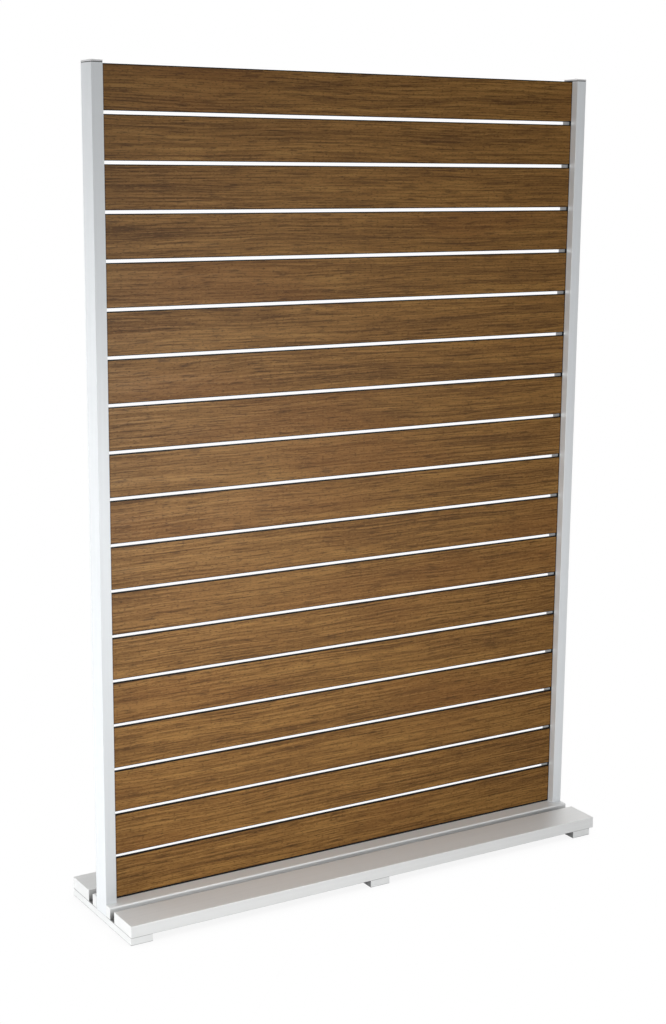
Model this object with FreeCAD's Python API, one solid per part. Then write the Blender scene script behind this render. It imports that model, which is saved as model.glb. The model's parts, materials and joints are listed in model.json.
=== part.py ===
"""Free-standing garden privacy screen: slats stacked between two posts on a three-part base.

X runs along the screen from left to right, Y from front to back and Z up, in millimetres.
The origin lies on the floor, under the middle of the screen.
"""
import FreeCAD, Part
import math
import os

from FreeCAD import Vector

os.makedirs("parts", exist_ok=True)

# ---------------------------------------------------------------- driving dimensions

OVERALL_WIDTH = 1236.0          # over the outer faces of the posts, and over the base

SLAT_COUNT = 18
SLAT_HEIGHT = 90.4
SLAT_THICKNESS = 6.8
SLAT_CHAMFER = 0.8
SLAT_GAP = 7.0                  # open height between two slats
SLAT_SETBACK = 20.0             # from the posts' front faces to the slats' front faces
SLAT_INSERTION = 12.0           # how far a slat's end reaches into the post's channel
SLAT_LIFT = 2.3                 # open height between the rail and the lowest slat

POST_WIDTH = 25.0
POST_DEPTH = 50.0
POST_WALL = 2.0
POST_CORNER_RADIUS = 1.0
CHANNEL_DEPTH = 13.0            # of the channel that takes the slats' ends
CHANNEL_WALL = 1.6
CHANNEL_CLEARANCE = 0.4         # between a slat's face and the channel's wall
CHANNEL_LIP_RADIUS = 0.5

SPACER_CLEARANCE = 0.3          # between a spacer and the channel's walls
SPACER_LIP = 0.5                # how far a spacer stays behind the channel's mouth

CAP_CLEARANCE = 0.5             # between the top slat and the caps
CAP_REVEAL_HEIGHT = 1.0         # shadow groove between a cap and its post
CAP_REVEAL_DEPTH = 0.8
CAP_SIDE_HEIGHT = 3.5
CAP_RISE = 3.0                  # of the hipped top above the sides
CAP_SPIGOT_LENGTH = 12.0
CAP_SPIGOT_WALL = 1.5

FOOT_WIDTH = 50.0
FOOT_HEIGHT = 16.5
FOOT_WALL = 2.4
FOOT_CHAMFER = 1.0
FOOT_SETBACK = 1.5              # of the feet's ends behind the planks' outer faces
LEFT_FOOT_INSET = 0.0           # of the end feet behind the base's ends
RIGHT_FOOT_INSET = 10.0

RAIL_HEIGHT = 27.0
RAIL_SHOULDER = 20.0            # rail in front of the posts, and again behind them
RAIL_WALL = 2.0
RAIL_TOP_RADIUS = 3.5
NOTCH_CLEARANCE = 0.5           # between a post and the rail's notch, on each side

GROOVE_WIDTH = 20.5             # between the rail and each plank
PLANK_DEPTH = 85.5
PLANK_HEIGHT = 26.5
PLANK_WALL = 2.2
PLANK_WEB = 1.8
PLANK_CHAMBERS = 3
PLANK_CORNER_RADIUS = 1.2

END_CAP_THICKNESS = 2.5         # of the plates that close planks, rail and feet
END_CAP_PLUG_LENGTH = 6.0
PLUG_CLEARANCE = 0.3            # between a plug or spigot and the chamber it fills

INSERT_HEIGHT = 24.0
SCREW_RADIUS = 2.5
SCREW_CLEARANCE = 0.1           # between a screw's shank and its hole
SCREW_HEAD_ACROSS = 8.0         # over the flats of the hexagonal head
SCREW_HEAD_HEIGHT = 3.5
BASE_SCREW_LENGTH = 14.0
POST_SCREW_LENGTH = 20.0
POST_SCREW_INSET = 6.5          # of the post foot screws from the posts' inner faces

# ---------------------------------------------------------------- sizes worked out

HALF_WIDTH = OVERALL_WIDTH / 2
SLAT_PITCH = SLAT_HEIGHT + SLAT_GAP
RAIL_TOP = FOOT_HEIGHT + RAIL_HEIGHT
SLAT_BASE = RAIL_TOP + SLAT_LIFT
POST_TOP = SLAT_BASE + SLAT_COUNT * SLAT_PITCH - SLAT_GAP + CAP_CLEARANCE

SLAT_FRONT = -POST_DEPTH / 2 + SLAT_SETBACK
SLAT_BACK = SLAT_FRONT + SLAT_THICKNESS
CHANNEL_FRONT = SLAT_FRONT - CHANNEL_CLEARANCE
CHANNEL_BACK = SLAT_BACK + CHANNEL_CLEARANCE
CHANNEL_BOTTOM = POST_WIDTH - CHANNEL_DEPTH

NOTCH_HALF = POST_DEPTH / 2 + NOTCH_CLEARANCE
RAIL_HALF = NOTCH_HALF + RAIL_SHOULDER
SHOULDER_MIDDLE = (NOTCH_HALF + RAIL_HALF) / 2
PLANK_NEAR = RAIL_HALF + GROOVE_WIDTH
PLANK_FAR = PLANK_NEAR + PLANK_DEPTH
PLANK_MIDDLE = (PLANK_NEAR + PLANK_FAR) / 2
PLANK_CHAMBER = (PLANK_DEPTH - 2 * PLANK_WALL - (PLANK_CHAMBERS - 1) * PLANK_WEB) / PLANK_CHAMBERS
FOOT_HALF_LENGTH = PLANK_FAR - FOOT_SETBACK

LEFT_FOOT_X = -HALF_WIDTH + LEFT_FOOT_INSET + FOOT_WIDTH / 2
RIGHT_FOOT_X = HALF_WIDTH - RIGHT_FOOT_INSET - FOOT_WIDTH / 2
SCREW_BEARING = FOOT_HEIGHT - FOOT_WALL

SIDES = {"left": -1, "right": 1}
FACES = {"front": -1, "rear": 1}
FEET = {"left": LEFT_FOOT_X, "middle": 0.0, "right": RIGHT_FOOT_X}

# ---------------------------------------------------------------- profile helpers


def in_plan(x, y):
    return Vector(x, y, 0)


def in_end_view(y, z):
    return Vector(0, y, z)


def in_front_view(x, z):
    return Vector(x, 0, z)


def post_plan(side):
    """Plan view of one post: inward runs from its outer face towards the slats."""

    def place(inward, y):
        return Vector(side * (HALF_WIDTH - inward), y, 0)

    return place


def base_section(face):
    """End view of one half of the base: outward runs from the middle to the front or the rear."""

    def place(outward, z):
        return Vector(0, face * outward, z)

    return place


def rectangle(low_a, low_b, high_a, high_b, radius=0.0):
    return [
        (low_a, low_b, radius),
        (high_a, low_b, radius),
        (high_a, high_b, radius),
        (low_a, high_b, radius),
    ]


def round_corner(before, corner, after, radius):
    """Start, middle and end of the arc that rounds a corner."""
    towards_before = (before - corner).normalize()
    towards_after = (after - corner).normalize()
    half_angle = towards_before.getAngle(towards_after) / 2
    reach = radius / math.tan(half_angle)
    bisector = (towards_before + towards_after).normalize()
    middle = corner + bisector * (radius / math.sin(half_angle) - radius)
    return corner + towards_before * reach, middle, corner + towards_after * reach


def outline(corners, place):
    """Closed wire through (a, b, radius) corners, drawn in the plane that place gives.

    A corner with no radius stays sharp.
    """
    points = [Vector(a, b, 0) for a, b, _ in corners]
    rounded = []
    for index, (_, _, radius) in enumerate(corners):
        following = points[(index + 1) % len(points)]
        rounded.append(round_corner(points[index - 1], points[index], following, radius))
    edges = []
    for index, (start, middle, end) in enumerate(rounded):
        if corners[index][2] > 0:
            edges.append(Part.Arc(place(*start[:2]), place(*middle[:2]), place(*end[:2])).toShape())
        next_start = rounded[(index + 1) % len(rounded)][0]
        edges.append(Part.LineSegment(place(*end[:2]), place(*next_start[:2])).toShape())
    return Part.Wire(edges)


def extrusion(outer, chambers, place, start, end):
    """Solid of one section with hollow chambers, drawn from start to end."""
    wires = [outline(corners, place) for corners in [outer] + chambers]
    face = Part.makeFace(wires, "Part::FaceMakerBullseye")
    face.translate(start)
    return face.extrude(end - start)


def shrink(low_high, amount):
    """Rectangle limits drawn in by the same amount on every side."""
    low_a, low_b, high_a, high_b = low_high
    return low_a + amount, low_b + amount, high_a - amount, high_b - amount


def keep(node, solids):
    """Write one named piece, or one group of identical fasteners."""
    shape = solids[0] if len(solids) == 1 else Part.makeCompound(solids)
    shape.exportStep(os.path.join("parts", node + ".step"))


# ---------------------------------------------------------------- screws


def screw(seat, length):
    """Hexagon-head screw, driven upwards, whose head bears on seat."""
    corner_radius = SCREW_HEAD_ACROSS / math.sqrt(3)
    corners = []
    for index in range(6):
        angle = math.radians(60 * index)
        corners.append((corner_radius * math.cos(angle), corner_radius * math.sin(angle), 0.0))
    head = extrusion(corners, [], in_plan, Vector(0, 0, -SCREW_HEAD_HEIGHT), Vector(0, 0, 0))
    head.translate(seat)
    return head.fuse(Part.makeCylinder(SCREW_RADIUS, length, seat))


def shank_hole(seat, length):
    """Clearance cut for a screw's shank."""
    return Part.makeCylinder(SCREW_RADIUS + SCREW_CLEARANCE, length + SCREW_CLEARANCE, seat)


def plank_screw_seats(foot_x):
    return [Vector(foot_x, face * PLANK_MIDDLE, SCREW_BEARING) for face in FACES.values()]


def rail_screw_seats(foot_x):
    return [Vector(foot_x, face * SHOULDER_MIDDLE, SCREW_BEARING) for face in FACES.values()]


def post_screw_seats(side):
    x = side * (HALF_WIDTH - POST_WIDTH + POST_SCREW_INSET)
    front = (-POST_DEPTH / 2 + POST_WALL + CHANNEL_FRONT - CHANNEL_WALL) / 2
    rear = (POST_DEPTH / 2 - POST_WALL + CHANNEL_BACK + CHANNEL_WALL) / 2
    return [Vector(x, front, SCREW_BEARING), Vector(x, rear, SCREW_BEARING)]


def make_screws():
    plank_seats = [seat for x in FEET.values() for seat in plank_screw_seats(x)]
    rail_seats = [seat for x in FEET.values() for seat in rail_screw_seats(x)]
    post_seats = [seat for side in SIDES.values() for seat in post_screw_seats(side)]
    keep("plank_screws", [screw(seat, BASE_SCREW_LENGTH) for seat in plank_seats])
    keep("rail_screws", [screw(seat, BASE_SCREW_LENGTH) for seat in rail_seats])
    keep("post_screws", [screw(seat, POST_SCREW_LENGTH) for seat in post_seats])


# ---------------------------------------------------------------- slats and spacers


def slat_section(low):
    """End view of a slat that stands on low: a thin board with all four long edges chamfered."""
    high = low + SLAT_HEIGHT
    return [
        (SLAT_FRONT + SLAT_CHAMFER, low, 0.0),
        (SLAT_BACK - SLAT_CHAMFER, low, 0.0),
        (SLAT_BACK, low + SLAT_CHAMFER, 0.0),
        (SLAT_BACK, high - SLAT_CHAMFER, 0.0),
        (SLAT_BACK - SLAT_CHAMFER, high, 0.0),
        (SLAT_FRONT + SLAT_CHAMFER, high, 0.0),
        (SLAT_FRONT, high - SLAT_CHAMFER, 0.0),
        (SLAT_FRONT, low + SLAT_CHAMFER, 0.0),
    ]


def make_slats():
    end = HALF_WIDTH - POST_WIDTH + SLAT_INSERTION
    for index in range(SLAT_COUNT):
        low = SLAT_BASE + index * SLAT_PITCH
        slat = extrusion(slat_section(low), [], in_end_view, Vector(-end, 0, 0), Vector(end, 0, 0))
        keep("slat_%02d" % (index + 1), [slat])


def spacer_section():
    """Plan of a spacer: a block that fills the channel."""
    return rectangle(CHANNEL_BOTTOM + SPACER_CLEARANCE, CHANNEL_FRONT + SPACER_CLEARANCE,
                     POST_WIDTH - SPACER_LIP, CHANNEL_BACK - SPACER_CLEARANCE)


def make_spacers(name, side):
    place = post_plan(side)
    spacers = []
    for index in range(SLAT_COUNT - 1):
        low = SLAT_BASE + index * SLAT_PITCH + SLAT_HEIGHT
        start = Vector(0, 0, low)
        spacers.append(extrusion(spacer_section(), [], place, start, Vector(0, 0, low + SLAT_GAP)))
    keep("spacers_" + name, spacers)
    start = Vector(0, 0, FOOT_HEIGHT)
    keep("slat_rest_" + name, [extrusion(spacer_section(), [], place, start, Vector(0, 0, SLAT_BASE))])


# ---------------------------------------------------------------- posts


def post_section():
    """Outer contour of a post, with the channel open towards the slats."""
    half = POST_DEPTH / 2
    return [
        (0, -half, POST_CORNER_RADIUS),
        (POST_WIDTH, -half, POST_CORNER_RADIUS),
        (POST_WIDTH, CHANNEL_FRONT, CHANNEL_LIP_RADIUS),
        (CHANNEL_BOTTOM, CHANNEL_FRONT, 0.0),
        (CHANNEL_BOTTOM, CHANNEL_BACK, 0.0),
        (POST_WIDTH, CHANNEL_BACK, CHANNEL_LIP_RADIUS),
        (POST_WIDTH, half, POST_CORNER_RADIUS),
        (0, half, POST_CORNER_RADIUS),
    ]


def cavity_section(inset):
    """Chamber that runs round the channel inside a post, drawn in by inset."""
    half = POST_DEPTH / 2 - POST_WALL - inset
    outer = POST_WALL + inset
    inner = POST_WIDTH - POST_WALL - inset
    waist = CHANNEL_BOTTOM - CHANNEL_WALL - inset
    front = CHANNEL_FRONT - CHANNEL_WALL - inset
    back = CHANNEL_BACK + CHANNEL_WALL + inset
    return [
        (outer, -half, 0.0),
        (inner, -half, 0.0),
        (inner, front, 0.0),
        (waist, front, 0.0),
        (waist, back, 0.0),
        (inner, back, 0.0),
        (inner, half, 0.0),
        (outer, half, 0.0),
    ]


def make_post(name, side):
    place = post_plan(side)
    start = Vector(0, 0, FOOT_HEIGHT)
    post = extrusion(post_section(), [cavity_section(0)], place, start, Vector(0, 0, POST_TOP))
    insert = extrusion(cavity_section(PLUG_CLEARANCE), [], place, start,
                       Vector(0, 0, FOOT_HEIGHT + INSERT_HEIGHT))
    foot_holes = [shank_hole(seat, POST_SCREW_LENGTH) for seat in post_screw_seats(side)]
    keep("post_" + name, [post])
    keep("post_insert_" + name, [insert.cut(foot_holes)])


def make_post_cap(name, side):
    """Hipped cap over a shadow groove, with a hollow spigot in the post's chamber."""
    place = post_plan(side)
    half = POST_DEPTH / 2
    footprint = (0, -half, POST_WIDTH, half)
    reveal_top = POST_TOP + CAP_REVEAL_HEIGHT
    eaves = reveal_top + CAP_SIDE_HEIGHT
    reveal = extrusion(rectangle(*shrink(footprint, CAP_REVEAL_DEPTH)), [], place,
                       Vector(0, 0, POST_TOP), Vector(0, 0, reveal_top))
    sides = extrusion(rectangle(*footprint, POST_CORNER_RADIUS), [], place,
                      Vector(0, 0, reveal_top), Vector(0, 0, eaves))
    rim = outline(rectangle(*footprint, POST_CORNER_RADIUS), place)
    rim.translate(Vector(0, 0, eaves))
    apex = place(POST_WIDTH / 2, 0) + Vector(0, 0, eaves + CAP_RISE)
    roof = Part.makeLoft([rim, Part.Vertex(apex)], True, True)
    spigot = extrusion(cavity_section(PLUG_CLEARANCE), [cavity_section(PLUG_CLEARANCE + CAP_SPIGOT_WALL)],
                       place, Vector(0, 0, POST_TOP - CAP_SPIGOT_LENGTH), Vector(0, 0, POST_TOP))
    keep("post_cap_" + name, [sides.fuse([reveal, roof, spigot])])


# ---------------------------------------------------------------- base


def foot_back(x):
    """Sides and top of a foot, from the low side's lower corner round to the high side's."""
    low = x - FOOT_WIDTH / 2
    high = x + FOOT_WIDTH / 2
    return [
        (low, 0.0, 0.0),
        (low, FOOT_HEIGHT - FOOT_CHAMFER, 0.0),
        (low + FOOT_CHAMFER, FOOT_HEIGHT, 0.0),
        (high - FOOT_CHAMFER, FOOT_HEIGHT, 0.0),
        (high, FOOT_HEIGHT - FOOT_CHAMFER, 0.0),
        (high, 0.0, 0.0),
    ]


def foot_section(x):
    """Channel with its open side on the floor, so that screws are driven from below."""
    half = FOOT_WIDTH / 2 - FOOT_WALL
    return foot_back(x) + [
        (x + half, 0.0, 0.0),
        (x + half, SCREW_BEARING, 0.0),
        (x - half, SCREW_BEARING, 0.0),
        (x - half, 0.0, 0.0),
    ]


def foot_plug_section(x):
    """Part of a foot's end cap that reaches in between the channel's walls."""
    half = FOOT_WIDTH / 2 - FOOT_WALL - PLUG_CLEARANCE
    return rectangle(x - half, 0.0, x + half, SCREW_BEARING - PLUG_CLEARANCE)


def make_foot(name, x):
    body_end = FOOT_HALF_LENGTH - END_CAP_THICKNESS
    foot = extrusion(foot_section(x), [], in_front_view, Vector(0, -body_end, 0), Vector(0, body_end, 0))
    seats = plank_screw_seats(x) + rail_screw_seats(x)
    if name in SIDES:
        seats = seats + post_screw_seats(SIDES[name])
    keep("foot_" + name, [foot.cut([shank_hole(seat, FOOT_WALL) for seat in seats])])
    for face_name, face in FACES.items():
        seam = Vector(0, face * body_end, 0)
        end = Vector(0, face * FOOT_HALF_LENGTH, 0)
        plug_end = Vector(0, face * (body_end - END_CAP_PLUG_LENGTH), 0)
        plate = extrusion(foot_back(x), [], in_front_view, seam, end)
        plug = extrusion(foot_plug_section(x), [], in_front_view, plug_end, seam)
        keep("foot_cap_%s_%s" % (face_name, name), [plate.fuse(plug)])


def rail_section():
    bottom = FOOT_HEIGHT
    return [
        (-RAIL_HALF, bottom, 0.0),
        (RAIL_HALF, bottom, 0.0),
        (RAIL_HALF, RAIL_TOP, RAIL_TOP_RADIUS),
        (-RAIL_HALF, RAIL_TOP, RAIL_TOP_RADIUS),
    ]


def shoulder_chamber():
    """Hollow of the rail in front of the posts, or behind them, as outward and upward limits."""
    return NOTCH_HALF + RAIL_WALL, FOOT_HEIGHT + RAIL_WALL, RAIL_HALF - RAIL_WALL, RAIL_TOP - RAIL_WALL


def make_rail():
    """Hollow bar, notched at both ends so that a post stands between its two shoulders."""
    near, low, far, high = shoulder_chamber()
    chambers = [
        rectangle(-far, low, -near, high),
        rectangle(near, low, far, high),
        rectangle(-NOTCH_HALF, low, -RAIL_WALL / 2, high),
        rectangle(RAIL_WALL / 2, low, NOTCH_HALF, high),
    ]
    body_end = HALF_WIDTH - END_CAP_THICKNESS
    rail = extrusion(rail_section(), chambers, in_end_view, Vector(-body_end, 0, 0), Vector(body_end, 0, 0))
    notch_depth = POST_WIDTH + NOTCH_CLEARANCE
    cuts = []
    for side in SIDES.values():
        low_x = min(side * HALF_WIDTH, side * (HALF_WIDTH - notch_depth))
        corner = Vector(low_x, -NOTCH_HALF, FOOT_HEIGHT)
        cuts.append(Part.makeBox(notch_depth, 2 * NOTCH_HALF, RAIL_HEIGHT, corner))
    for x in FEET.values():
        cuts.extend(shank_hole(seat, BASE_SCREW_LENGTH) for seat in rail_screw_seats(x))
    keep("centre_rail", [rail.cut(cuts)])


def make_rail_caps():
    near, low, far, high = shrink(shoulder_chamber(), PLUG_CLEARANCE)
    plate_section = [
        (NOTCH_HALF, FOOT_HEIGHT, 0.0),
        (RAIL_HALF, FOOT_HEIGHT, 0.0),
        (RAIL_HALF, RAIL_TOP, RAIL_TOP_RADIUS),
        (NOTCH_HALF, RAIL_TOP, 0.0),
    ]
    plug_section = rectangle(near, low, far, high)
    for side_name, side in SIDES.items():
        seam = Vector(side * (HALF_WIDTH - END_CAP_THICKNESS), 0, 0)
        plug_end = Vector(seam.x - side * END_CAP_PLUG_LENGTH, 0, 0)
        for face_name, face in FACES.items():
            place = base_section(face)
            plate = extrusion(plate_section, [], place, seam, Vector(side * HALF_WIDTH, 0, 0))
            plug = extrusion(plug_section, [], place, plug_end, seam)
            keep("rail_cap_%s_%s" % (face_name, side_name), [plate.fuse(plug)])


def plank_chambers():
    low = FOOT_HEIGHT + PLANK_WALL
    high = FOOT_HEIGHT + PLANK_HEIGHT - PLANK_WALL
    chambers = []
    for index in range(PLANK_CHAMBERS):
        near = PLANK_NEAR + PLANK_WALL + index * (PLANK_CHAMBER + PLANK_WEB)
        chambers.append((near, low, near + PLANK_CHAMBER, high))
    return chambers


def make_plank(face_name, face):
    place = base_section(face)
    outer = rectangle(PLANK_NEAR, FOOT_HEIGHT, PLANK_FAR, FOOT_HEIGHT + PLANK_HEIGHT, PLANK_CORNER_RADIUS)
    chambers = [rectangle(*limits) for limits in plank_chambers()]
    body_end = HALF_WIDTH - END_CAP_THICKNESS
    plank = extrusion(outer, chambers, place, Vector(-body_end, 0, 0), Vector(body_end, 0, 0))
    holes = []
    for x in FEET.values():
        holes.extend(shank_hole(seat, BASE_SCREW_LENGTH) for seat in plank_screw_seats(x))
    keep("plank_" + face_name, [plank.cut(holes)])
    for side_name, side in SIDES.items():
        seam = Vector(side * body_end, 0, 0)
        plug_end = Vector(side * (body_end - END_CAP_PLUG_LENGTH), 0, 0)
        plate = extrusion(outer, [], place, seam, Vector(side * HALF_WIDTH, 0, 0))
        plugs = []
        for limits in plank_chambers():
            plug_section = rectangle(*shrink(limits, PLUG_CLEARANCE))
            plugs.append(extrusion(plug_section, [], place, plug_end, seam))
        keep("plank_cap_%s_%s" % (face_name, side_name), [plate.fuse(plugs)])


# ---------------------------------------------------------------- the whole screen

make_slats()
for side_label, side_sign in SIDES.items():
    make_spacers(side_label, side_sign)
    make_post(side_label, side_sign)
    make_post_cap(side_label, side_sign)
for foot_label, foot_centre in FEET.items():
    make_foot(foot_label, foot_centre)
make_rail()
make_rail_caps()
for plank_label, plank_sign in FACES.items():
    make_plank(plank_label, plank_sign)
make_screws()
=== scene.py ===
"""Garden privacy screen: camera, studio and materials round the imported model.

Metres, in the model's own frame: X along the screen to the right, Y to the back, Z up.
"""

import json
import math

import bpy
from mathutils import Matrix, Vector


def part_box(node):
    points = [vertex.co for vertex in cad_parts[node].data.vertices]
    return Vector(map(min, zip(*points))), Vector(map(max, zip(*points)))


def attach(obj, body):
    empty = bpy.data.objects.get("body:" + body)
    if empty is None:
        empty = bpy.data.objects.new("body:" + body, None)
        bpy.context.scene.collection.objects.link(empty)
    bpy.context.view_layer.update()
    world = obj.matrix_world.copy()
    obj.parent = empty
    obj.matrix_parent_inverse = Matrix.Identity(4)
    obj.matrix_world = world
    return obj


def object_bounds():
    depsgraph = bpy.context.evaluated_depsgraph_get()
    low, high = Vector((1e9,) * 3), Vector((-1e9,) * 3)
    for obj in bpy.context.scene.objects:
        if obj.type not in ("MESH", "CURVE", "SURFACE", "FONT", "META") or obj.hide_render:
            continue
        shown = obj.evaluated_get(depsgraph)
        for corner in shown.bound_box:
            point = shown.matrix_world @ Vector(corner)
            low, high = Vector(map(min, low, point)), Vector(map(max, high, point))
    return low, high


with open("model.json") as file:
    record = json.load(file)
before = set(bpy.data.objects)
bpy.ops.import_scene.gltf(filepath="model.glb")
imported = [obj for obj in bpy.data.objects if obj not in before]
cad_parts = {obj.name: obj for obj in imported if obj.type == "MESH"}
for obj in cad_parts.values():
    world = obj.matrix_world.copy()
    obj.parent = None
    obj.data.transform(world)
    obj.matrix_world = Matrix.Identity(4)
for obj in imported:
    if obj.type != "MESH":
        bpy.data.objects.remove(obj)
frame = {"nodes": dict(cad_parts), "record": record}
cad_low, cad_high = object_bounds()
scene = bpy.context.scene
nodes = frame["nodes"]

# ---------------------------------------------------------------- sizes read from the frame

slat_names = sorted(name for name in nodes if name.removeprefix("slat_").isdigit())
slat_low, slat_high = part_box(slat_names[0])
SLAT_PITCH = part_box(slat_names[1])[0].z - slat_low.z
SLAT_HEIGHT = slat_high.z - slat_low.z
SLAT_HALF_DEPTH = (slat_high.y - slat_low.y) / 2
SLAT_CENTRE_Y = (slat_high.y + slat_low.y) / 2
POST_INNER_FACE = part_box("post_right")[0].x
POST_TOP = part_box("post_right")[1].z
RAIL_HALF_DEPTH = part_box("centre_rail")[1].y
RAIL_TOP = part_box("centre_rail")[1].z
PLANK_NEAR_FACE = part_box("plank_rear")[0].y
FOOT_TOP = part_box("foot_middle")[1].z

# ---------------------------------------------------------------- colours, linear

WOOD_DARK = (0.105, 0.047, 0.012, 1)
WOOD_MIDDLE = (0.243, 0.116, 0.028, 1)
WOOD_LIGHT = (0.358, 0.187, 0.050, 1)
WOOD_RED = (0.221, 0.091, 0.022, 1)
PORE_COLOUR = (0.053, 0.022, 0.006, 1)
# Black core of the boards, also used for the painted shadow near the posts.
CORE_AND_SHADOW_COLOUR = (0.005, 0.004, 0.003, 1)
SILVER = (0.765, 0.792, 0.812, 1)
SILVER_WORN = (0.747, 0.774, 0.794, 1)
BASE_SILVER = (0.775, 0.786, 0.785, 1)
BASE_WORN = (0.757, 0.768, 0.767, 1)
CAP_SILVER = (0.700, 0.700, 0.705, 1)
CAP_WORN = (0.660, 0.660, 0.665, 1)
# Colour of the painted shade on the metal.
METAL_SHADE = (0.030, 0.030, 0.032, 1)
RUBBER_BLACK = (0.005, 0.005, 0.006, 1)
PLASTIC_BLACK = (0.030, 0.030, 0.032, 1)
ZINC = (0.620, 0.620, 0.600, 1)
ZINC_DULL = (0.480, 0.480, 0.440, 1)
WHITE = (1.0, 1.0, 1.0, 1)
FLOOR_COLOUR = (0.86, 0.86, 0.86, 1)

# ---------------------------------------------------------------- node helpers

# Sockets of a Mix node that is set to colour.
MIX_FACTOR, MIX_FIRST, MIX_SECOND, MIX_RESULT = 0, 6, 7, 2


class Tree:
    """Short calls that add and link shader nodes."""

    def __init__(self, tree):
        self.tree = tree
        tree.nodes.clear()

    def fill(self, node, inputs):
        """Link or set each of a node's inputs."""
        for socket, value in inputs.items():
            if isinstance(value, bpy.types.NodeSocket):
                self.tree.links.new(value, node.inputs[socket])
            else:
                node.inputs[socket].default_value = value
        return node

    def add(self, kind, inputs=None, **settings):
        node = self.tree.nodes.new("ShaderNode" + kind)
        for name, value in settings.items():
            setattr(node, name, value)
        return self.fill(node, inputs or {})

    def math(self, operation, *values):
        return self.add("Math", dict(enumerate(values)), operation=operation).outputs[0]

    def remap(self, value, low, high, to_low=0.0, to_high=1.0):
        """Value from low..high to to_low..to_high, smooth at both ends."""
        node = self.add("MapRange", {"Value": value, "From Min": low, "From Max": high,
                                     "To Min": to_low, "To Max": to_high},
                        interpolation_type="SMOOTHSTEP")
        return node.outputs[0]

    def noise(self, vector, scale=1.0, detail=3.0, roughness=0.5):
        node = self.add("TexNoise", {"Vector": vector, "Scale": scale, "Detail": detail,
                                     "Roughness": roughness})
        return node.outputs["Fac"]

    def blend(self, factor, first, second):
        node = self.add("Mix", data_type="RGBA")
        self.fill(node, {MIX_FACTOR: factor, MIX_FIRST: first, MIX_SECOND: second})
        return node.outputs[MIX_RESULT]

    def distance(self, value, centre):
        return self.math("ABSOLUTE", self.math("SUBTRACT", value, centre))

    def position(self):
        """X, Y and Z sockets of the point, in metres in the model's frame."""
        coordinates = self.add("TexCoord").outputs["Object"]
        split = self.add("SeparateXYZ", {"Vector": coordinates})
        return split.outputs["X"], split.outputs["Y"], split.outputs["Z"]

    def combine(self, x, y, z):
        return self.add("CombineXYZ", {"X": x, "Y": y, "Z": z}).outputs[0]

    def bump(self, height, strength, distance):
        node = self.add("Bump", {"Height": height, "Strength": strength, "Distance": distance})
        return node.outputs[0]

    def finish(self, shader, output="OutputMaterial"):
        self.tree.links.new(shader, self.add(output).inputs["Surface"])


def new_material(name):
    material = bpy.data.materials.new(name)
    material.use_nodes = True
    return material, Tree(material.node_tree)


# ---------------------------------------------------------------- boards

# Layers of the printed grain: noise per metre along and up the board, its detail and roughness.
WAVE = (2.2, 9.0, 1.0, 0.50)            # this and the next one sway the fibres
RIPPLE = (8.0, 22.0, 1.0, 0.50)
BAND = (1.5, 30.0, 2.0, 0.50)
LINE = (2.2, 230.0, 3.0, 0.70)
STREAK = (8.0, 300.0, 2.0, 0.65)
DASH = (18.0, 300.0, 2.0, 0.65)
FLECK = (75.0, 330.0, 2.0, 0.60)
PORE = (130.0, 420.0, 2.0, 0.50)
PATCH = (1.6, 7.0, 1.0, 0.50)
WAVE_RISE = 0.022
RIPPLE_RISE = 0.004
ROW_SHIFT = 3.17                        # along the grain, from one board to the next
REAR_SHIFT = 71.3                       # and from a board's front to its rear
STREAK_LIFT = 0.4                       # up the board, so that no two layers run alike
FLECK_LIFT = 0.7
PATCH_LIFT = 1.3
ROW_MARGIN = 0.002                      # of each board's row below its lower edge

FILM_THICKNESS = 0.00015                # of the printed layer on both broad faces
EDGE_LINE = (0.0019, 0.0025)            # from a long edge: where the dark line fades, and ends
LOWER_EDGE_GAIN = 0.0006                # by which the line is narrower at the lower edge
LEFT_END_SHADE = (0.0070, 0.0125, 0.15, 1.0)    # two distances from the left post, film at each: painted shadow of the post on the boards
RIGHT_END_SHADE = (0.0006, 0.0028, 0.25, 1.0)   # and the same from the right post: painted shade at the mouth of its channel
WOOD_GLOSS = 0.03


def slat_film_and_shade(tree, x, y, height):
    """1 on the open film of a board, less towards its edges, less towards its ends where the posts'
    shadow is painted, and 0 on its core.
    """
    from_face = tree.math("SUBTRACT", SLAT_HALF_DEPTH, tree.distance(y, SLAT_CENTRE_Y))
    film_and_shade = tree.math("LESS_THAN", from_face, FILM_THICKNESS)
    from_edge = tree.math("MINIMUM", tree.math("ADD", height, LOWER_EDGE_GAIN),
                          tree.math("SUBTRACT", SLAT_HEIGHT, height))
    from_left = tree.math("ADD", x, POST_INNER_FACE)
    from_right = tree.math("SUBTRACT", POST_INNER_FACE, x)
    for distance, fade in ((from_edge, EDGE_LINE), (from_left, LEFT_END_SHADE),
                           (from_right, RIGHT_END_SHADE)):
        film_and_shade = tree.math("MULTIPLY", film_and_shade, tree.remap(distance, *fade))
    return film_and_shade


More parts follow.
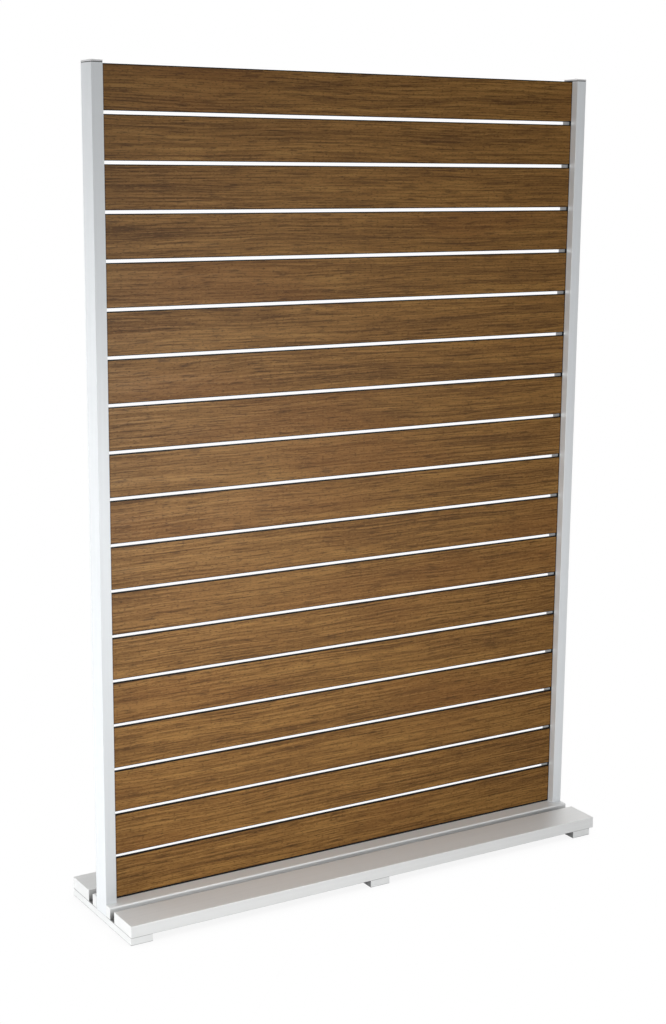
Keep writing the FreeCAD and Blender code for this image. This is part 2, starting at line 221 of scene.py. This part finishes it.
def slat_material():
    """Wood-grain film on both broad faces, round a black core that shows at the edges, with painted
    shadow near the posts.
    """
    material, tree = new_material("walnut_board")
    x, y, z = tree.position()
    from_first = tree.math("SUBTRACT", z, slat_low.z - ROW_MARGIN)
    row = tree.math("FLOOR", tree.math("DIVIDE", from_first, SLAT_PITCH))
    rear = tree.math("GREATER_THAN", y, SLAT_CENTRE_Y)
    along = tree.math("ADD", x, tree.math("MULTIPLY", row, ROW_SHIFT))
    along = tree.math("ADD", along, tree.math("MULTIPLY", rear, REAR_SHIFT))
    up = tree.math("SUBTRACT", z, tree.math("MULTIPLY", row, SLAT_PITCH))

    def grain(layer, height):
        """Noise drawn out along the board, different on every board."""
        per_metre_along, per_metre_up, detail, roughness = layer
        vector = tree.combine(tree.math("MULTIPLY", along, per_metre_along), row,
                              tree.math("MULTIPLY", height, per_metre_up))
        return tree.noise(vector, detail=detail, roughness=roughness)

    fibre = tree.math("MULTIPLY_ADD", grain(WAVE, up), WAVE_RISE, up)
    fibre = tree.math("MULTIPLY_ADD", grain(RIPPLE, up), RIPPLE_RISE, fibre)
    band = grain(BAND, fibre)
    line = grain(LINE, fibre)
    streak = grain(STREAK, tree.math("ADD", fibre, STREAK_LIFT))
    dash = grain(DASH, fibre)
    fleck = grain(FLECK, tree.math("ADD", fibre, FLECK_LIFT))
    pore = grain(PORE, fibre)
    patch = grain(PATCH, tree.math("ADD", up, PATCH_LIFT))

    tone = tree.math("MULTIPLY", tree.remap(band, 0.32, 0.68), 0.26)
    for layer, share in ((line, 0.42), (streak, 0.32)):
        tone = tree.math("MULTIPLY_ADD", tree.remap(layer, 0.37, 0.63), share, tone)
    colour = tree.blend(tree.remap(tone, 0.05, 0.55), WOOD_DARK, WOOD_MIDDLE)
    colour = tree.blend(tree.remap(tone, 0.45, 0.95), colour, WOOD_LIGHT)
    for layer, low, high, strength, tint in ((patch, 0.50, 0.72, 0.45, WOOD_RED),
                                             (fleck, 0.54, 0.70, 0.45, WOOD_LIGHT),
                                             (dash, 0.53, 0.66, 0.62, PORE_COLOUR),
                                             (pore, 0.54, 0.70, 0.60, PORE_COLOUR)):
        colour = tree.blend(tree.remap(layer, low, high, 0.0, strength), colour, tint)
    film_and_shade = slat_film_and_shade(tree, x, y, tree.math("SUBTRACT", up, slat_low.z))
    # Towards the core colour at the edges, and into painted shadow near the posts.
    colour = tree.blend(film_and_shade, CORE_AND_SHADOW_COLOUR, colour)

    relief = tree.math("SUBTRACT", tree.math("MULTIPLY", line, 0.6),
                       tree.math("MULTIPLY", tree.remap(pore, 0.58, 0.78), 0.5))
    roughness = tree.remap(tone, 0.1, 0.9, 0.52, 0.44)
    normal = tree.bump(relief, strength=0.35, distance=0.0004)
    shader = tree.add("BsdfPrincipled", {"Base Color": colour, "Roughness": roughness,
                                         "Specular IOR Level": WOOD_GLOSS, "Normal": normal})
    tree.finish(shader.outputs[0])
    return material


# ---------------------------------------------------------------- painted shade on the metal

# Strengths of the painted shade on the metal, as its share of the shade colour.
GROOVE_SHADE = 0.72                     # at the bottom of the grooves beside the rail
JOINT_SHADE = 0.65
FOOT_SIDE_SHADE = 0.70
POST_SHADE = 0.40
JOINT_LINE = (0.0004, 0.0012)           # from a joint: where its line of painted contact shadow fades, and ends
CAP_SHADE_HEIGHT = 0.0015               # height of the painted shade above a post's top, which takes in the groove there
GROOVE_CLEAR = 0.002                    # below the rail's top, where a groove is in full light
SLAT_SHADE_MARGIN = 0.0006              # by which the painted shade under the lowest slat is wider than it
# How near to a face a point counts as lying on it.
GROOVE_MARGIN = 0.0004
FOOT_TOP_MARGIN = 0.0003
RAIL_TOP_MARGIN = 0.0005
FOOT_SIDE_MARGIN = 0.0002
POST_FACE_MARGIN = 0.0004


def base_shade(tree, position):
    """Painted shade on a point of the base, by how little light gets there: 1 under the lowest slat, 0 in
    the open.
    """
    x, y, z = position
    # Painted shade down in the grooves between the rail and the planks.
    from_groove = tree.distance(tree.math("ABSOLUTE", y), (RAIL_HALF_DEPTH + PLANK_NEAR_FACE) / 2)
    groove_half = (PLANK_NEAR_FACE - RAIL_HALF_DEPTH) / 2
    in_groove = tree.math("LESS_THAN", from_groove, groove_half + GROOVE_MARGIN)
    above_foot = tree.math("GREATER_THAN", z, FOOT_TOP - FOOT_TOP_MARGIN)
    depth = tree.remap(z, FOOT_TOP, RAIL_TOP - GROOVE_CLEAR, GROOVE_SHADE, 0.0)
    shade = tree.math("MULTIPLY", tree.math("MULTIPLY", in_groove, above_foot), depth)

    # Painted shade on the rail's top under the lowest slat.
    from_slat = tree.distance(y, SLAT_CENTRE_Y)
    under_slat = tree.math("LESS_THAN", from_slat, SLAT_HALF_DEPTH + SLAT_SHADE_MARGIN)
    on_rail = tree.math("GREATER_THAN", z, RAIL_TOP - RAIL_TOP_MARGIN)
    shade = tree.math("MAXIMUM", shade, tree.math("MULTIPLY", under_slat, on_rail))

    # Painted contact shadow along the joints at the floor and at the feet's top.
    from_joint = tree.math("MINIMUM", z, tree.distance(z, FOOT_TOP))
    shade = tree.math("MAXIMUM", shade, tree.remap(from_joint, *JOINT_LINE, JOINT_SHADE, 0.0))

    # Painted shade on the sides of the middle and right feet, under the planks.
    below = tree.math("LESS_THAN", z, FOOT_TOP)
    for foot in ("foot_middle", "foot_right"):
        low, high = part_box(foot)
        from_middle = tree.distance(x, (low.x + high.x) / 2)
        side = tree.math("COMPARE", from_middle, (high.x - low.x) / 2, FOOT_SIDE_MARGIN)
        sheltered = tree.math("MULTIPLY", side, below)
        shade = tree.math("MAXIMUM", shade, tree.math("MULTIPLY", sheltered, FOOT_SIDE_SHADE))
    return shade


def post_shade(tree, position):
    """Painted shade on the part of a post's inner face that lies behind the slats."""
    x, y, _ = position
    inner = tree.math("LESS_THAN", tree.math("ABSOLUTE", x), POST_INNER_FACE + POST_FACE_MARGIN)
    behind = tree.math("GREATER_THAN", y, SLAT_CENTRE_Y)
    return tree.math("MULTIPLY", tree.math("MULTIPLY", inner, behind), POST_SHADE)


def cap_shade(tree, position):
    """Painted shade in the groove between a cap and its post."""
    _, _, z = position
    return tree.math("LESS_THAN", z, POST_TOP + CAP_SHADE_HEIGHT)


# ---------------------------------------------------------------- metals, rubber and plastic

METALLIC = 0.20
METAL_GLOSS = 0.5
BLACK_GLOSS = 0.15
# Noise per metre along and across the direction in which a profile was drawn out.
DIE_LINES = (2.0, 900.0)
DIE_STREAKS = (0.9, 120.0)
# Noise per metre of the fine grain and of the slow changes in each finish.
SPECKLE = 2600.0
CAST_GRAIN = 1500.0
CAST_CLOUD = 45.0
MOULD_GRAIN = 1800.0
MOULD_CLOUD = 90.0
ZINC_CLOUD = 700.0


def metal(tree, tint, rough, normal, shade):
    """Satin metal whose colour and shine both fade where shade is painted on it."""
    openness = tree.math("SUBTRACT", 1.0, shade)
    return tree.add("BsdfPrincipled", {"Base Color": tree.blend(shade, tint, METAL_SHADE),
                                       "Metallic": tree.math("MULTIPLY", openness, METALLIC),
                                       "Specular IOR Level": tree.math("MULTIPLY", openness, METAL_GLOSS),
                                       "Roughness": rough, "Normal": normal})


def drawn_noise(tree, position, axis, scales, detail):
    """Noise that changes slowly along one axis and fast across it."""
    along, across = scales
    stretched = [tree.math("MULTIPLY", value, along if index == axis else across)
                 for index, value in enumerate(position)]
    return tree.noise(tree.combine(*stretched), detail=detail)


def extruded_material(name, axis, colour, worn, roughness, shade):
    """Satin anodised aluminium with faint die lines along the axis that it was drawn out on."""
    material, tree = new_material(name)
    position = tree.position()
    lines = drawn_noise(tree, position, axis, DIE_LINES, detail=2.0)
    streaks = drawn_noise(tree, position, axis, DIE_STREAKS, detail=3.0)
    speckle = tree.noise(tree.combine(*position), scale=SPECKLE, detail=1.0)
    tint = tree.blend(tree.remap(streaks, 0.30, 0.75), colour, worn)
    rough = tree.math("ADD", tree.remap(lines, 0.25, 0.75, roughness - 0.05, roughness + 0.05),
                      tree.remap(speckle, 0.3, 0.7, -0.015, 0.015))
    relief = tree.math("ADD", tree.math("MULTIPLY", lines, 0.7), tree.math("MULTIPLY", speckle, 0.3))
    normal = tree.bump(relief, strength=0.10, distance=0.00005)
    shader = metal(tree, tint, rough, normal, shade(tree, position))
    tree.finish(shader.outputs[0])
    return material


def cast_material(name, colour, worn, roughness, shade):
    """Fine-grained satin metal of the caps and end plates."""
    material, tree = new_material(name)
    position = tree.position()
    point = tree.combine(*position)
    grain = tree.noise(point, scale=CAST_GRAIN, detail=2.0)
    cloud = tree.noise(point, scale=CAST_CLOUD, detail=3.0)
    tint = tree.blend(tree.remap(cloud, 0.35, 0.70), colour, worn)
    rough = tree.remap(grain, 0.25, 0.75, roughness - 0.04, roughness + 0.05)
    normal = tree.bump(grain, strength=0.12, distance=0.00006)
    shader = metal(tree, tint, rough, normal, shade(tree, position))
    tree.finish(shader.outputs[0])
    return material


def black_material(name, colour, roughness, bump_strength):
    """Rubber or plastic with a fine moulded grain."""
    material, tree = new_material(name)
    point = tree.combine(*tree.position())
    grain = tree.noise(point, scale=MOULD_GRAIN, detail=2.0)
    cloud = tree.noise(point, scale=MOULD_CLOUD, detail=2.0)
    lighter = tuple(1.8 * channel for channel in colour[:3]) + (1,)
    tint = tree.blend(tree.remap(cloud, 0.4, 0.75), colour, lighter)
    rough = tree.remap(grain, 0.2, 0.8, roughness - 0.08, roughness + 0.08)
    normal = tree.bump(grain, bump_strength, distance=0.0001)
    shader = tree.add("BsdfPrincipled", {"Base Color": tint, "Roughness": rough,
                                         "Specular IOR Level": BLACK_GLOSS, "Normal": normal})
    tree.finish(shader.outputs[0])
    return material


def screw_material():
    """Zinc-plated steel, slightly cloudy."""
    material, tree = new_material("zinc_plated_steel")
    cloud = tree.noise(tree.combine(*tree.position()), scale=ZINC_CLOUD, detail=3.0)
    tint = tree.blend(tree.remap(cloud, 0.35, 0.70), ZINC, ZINC_DULL)
    rough = tree.remap(cloud, 0.3, 0.7, 0.28, 0.42)
    shader = tree.add("BsdfPrincipled", {"Base Color": tint, "Metallic": 1.0, "Roughness": rough})
    tree.finish(shader.outputs[0])
    return material


ALONG_X, ALONG_Y, ALONG_Z = 0, 1, 2
materials = {
    "slat_board": slat_material(),
    "post_aluminium": extruded_material("post_aluminium_satin", ALONG_Z, SILVER, SILVER_WORN,
                                        roughness=0.40, shade=post_shade),
    "base_aluminium": extruded_material("base_aluminium_satin", ALONG_X, BASE_SILVER, BASE_WORN,
                                        roughness=0.40, shade=base_shade),
    "foot_aluminium": extruded_material("foot_aluminium_satin", ALONG_Y, BASE_SILVER, BASE_WORN,
                                        roughness=0.42, shade=base_shade),
    "cap_aluminium": cast_material("cap_aluminium_satin", CAP_SILVER, CAP_WORN,
                                   roughness=0.45, shade=cap_shade),
    "end_cap_aluminium": cast_material("end_plate_satin", BASE_SILVER, BASE_WORN,
                                       roughness=0.42, shade=base_shade),
    "spacer_rubber": black_material("spacer_rubber_black", RUBBER_BLACK,
                                    roughness=0.72, bump_strength=0.25),
    "insert_plastic": black_material("insert_plastic_black", PLASTIC_BLACK,
                                     roughness=0.55, bump_strength=0.15),
    "screw_steel": screw_material(),
}
for subpart in frame["record"]["subparts"]:
    piece = nodes[subpart["node"]]
    piece.data.materials.clear()
    piece.data.materials.append(materials[subpart["material_slot"]])

# ---------------------------------------------------------------- camera

CAMERA_PLACE = Vector((-2.0407, -3.2537, 1.6039))
CAMERA_YAW = 0.5509                     # turned from +Y towards +X
CAMERA_PITCH = 0.1974                   # below the horizon
CAMERA_ROLL = 0.0088
CAMERA_LENS = 61.386                    # millimetres, as is the sensor on the frame's long side
SENSOR_SIZE = 36.0

camera_data = bpy.data.cameras.new("camera")
camera_data.lens = CAMERA_LENS
camera_data.sensor_width = SENSOR_SIZE
camera_data.sensor_fit = "AUTO"
camera = bpy.data.objects.new("camera", camera_data)
scene.collection.objects.link(camera)
camera.matrix_world = (Matrix.Translation(CAMERA_PLACE)
                       @ Matrix.Rotation(-CAMERA_YAW, 4, "Z")
                       @ Matrix.Rotation(math.pi / 2 - CAMERA_PITCH, 4, "X")
                       @ Matrix.Rotation(CAMERA_ROLL, 4, "Z"))
scene.camera = camera

# ---------------------------------------------------------------- studio

WORLD_LIGHT = 0.16
SHADOW_REACH = 0.06                     # of the soft shadow painted into the white floor's glow
SHADOW_OPEN = 0.9                       # openness above which the floor is plain white
SHADOW_FLOOR = 0.90                     # glow of the floor at its darkest
FLOOR_HALF = 400.0
FLOOR_DROP = 0.0004                     # keeps the floor off the feet's undersides

# The left post gets less of this light than the boards beside it.
FRONT_LEFT = {"place": (-0.55, -1.15, 0.70), "target": (-0.35, 0.0, 0.68), "size": 0.5,
              "glossy": False}
LAMPS = {
    "lamp_left": {"place": (-2.2, -0.3, 0.3), "target": (-0.6, 0.0, 0.2), "size": 0.8,
                  "power": 22.5, "glossy": False},
    "lamp_front_left": dict(FRONT_LEFT, power=6.8, unlit=("post_left",)),
    "lamp_post_left": dict(FRONT_LEFT, power=3.4, lit=("post_left",)),
    "lamp_back_left": {"place": (-2.5, 1.5, 1.0), "target": (-0.6, 0.0, 0.8), "size": 1.5,
                       "power": 13.0},
    "lamp_back_right": {"place": (2.4, 2.2, 1.4), "target": (0.3, 0.0, 0.8), "size": 1.5,
                        "power": 30.0, "glossy": False},
    "lamp_front_right": {"place": (0.7, -2.4, 0.35), "target": (0.0, 0.0, 0.35), "size": 0.9,
                         "power": 10.0},
    "lamp_overhead": {"place": (0.5, -0.03, 3.6), "target": (0.4, -0.1, 0.0), "size": 0.5,
                      "power": 36.0},
    "lamp_sheen": {"place": (0.68, -3.25, 0.5), "target": (-0.65, 0.0, 1.05), "size": 1.0,
                   "power": 430.0, "diffuse": False, "lit": slat_names},
}


def seen_rays(tree):
    """1 for camera, glossy and transmission rays, which meet the plain white background."""
    path = tree.add("LightPath")
    seen = tree.math("MAXIMUM", path.outputs["Is Camera Ray"], path.outputs["Is Glossy Ray"])
    return tree.math("MAXIMUM", seen, path.outputs["Is Transmission Ray"])


def make_world():
    """Dim even light on the object, round a background that is seen as white."""
    world = bpy.data.worlds.new("studio")
    world.use_nodes = True
    scene.world = world
    tree = Tree(world.node_tree)
    strength = tree.math("MAXIMUM", WORLD_LIGHT, seen_rays(tree))
    background = tree.add("Background", {"Color": WHITE, "Strength": strength})
    tree.finish(background.outputs[0], "OutputWorld")


def make_floor():
    """Plain pale floor: white to the camera, and darker by painted shadow where the object shades it."""
    corners = [(x * FLOOR_HALF, y * FLOOR_HALF, 0) for x, y in ((-1, -1), (1, -1), (1, 1), (-1, 1))]
    mesh = bpy.data.meshes.new("floor")
    mesh.from_pydata(corners, [], [(0, 1, 2, 3)])
    floor = bpy.data.objects.new("floor", mesh)
    floor.location.z = cad_low.z - FLOOR_DROP
    scene.collection.objects.link(floor)
    material, tree = new_material("studio_floor")
    surface = tree.add("BsdfDiffuse", {"Color": FLOOR_COLOUR}).outputs[0]
    openness = tree.add("AmbientOcclusion", {"Distance": SHADOW_REACH}).outputs["AO"]
    brightness = tree.remap(openness, 0.0, SHADOW_OPEN, SHADOW_FLOOR, 1.0)
    glow = tree.add("Emission", {"Color": WHITE, "Strength": brightness}).outputs[0]
    tree.finish(tree.add("MixShader", {0: seen_rays(tree), 1: surface, 2: glow}).outputs[0])
    mesh.materials.append(material)


def make_lamp(name, place, target, size, power, diffuse=True, glossy=True, lit=(), unlit=()):
    """Round soft lamp, on the nodes in lit alone or on all but those in unlit, if one is given."""
    lamp = bpy.data.lights.new(name, "AREA")
    lamp.shape = "DISK"
    lamp.size = size
    lamp.energy = power
    holder = bpy.data.objects.new(name, lamp)
    holder.location = place
    holder.rotation_euler = (Vector(target) - Vector(place)).to_track_quat("-Z", "Y").to_euler()
    holder.visible_camera = False
    holder.visible_diffuse = diffuse
    holder.visible_glossy = glossy
    if lit or unlit:
        receivers = bpy.data.collections.new(name + "_receivers")
        for index, node in enumerate(lit or unlit):
            receivers.objects.link(nodes[node])
            link = receivers.collection_objects[index].light_linking
            link.link_state = "INCLUDE" if lit else "EXCLUDE"
        holder.light_linking.receiver_collection = receivers
    scene.collection.objects.link(holder)


make_world()
make_floor()
for lamp_name, settings in LAMPS.items():
    make_lamp(lamp_name, **settings)

scene.view_settings.view_transform = "Standard"

# ---------------------------------------------------------------- pieces onto the root body

for piece in nodes.values():
    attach(piece, "root")
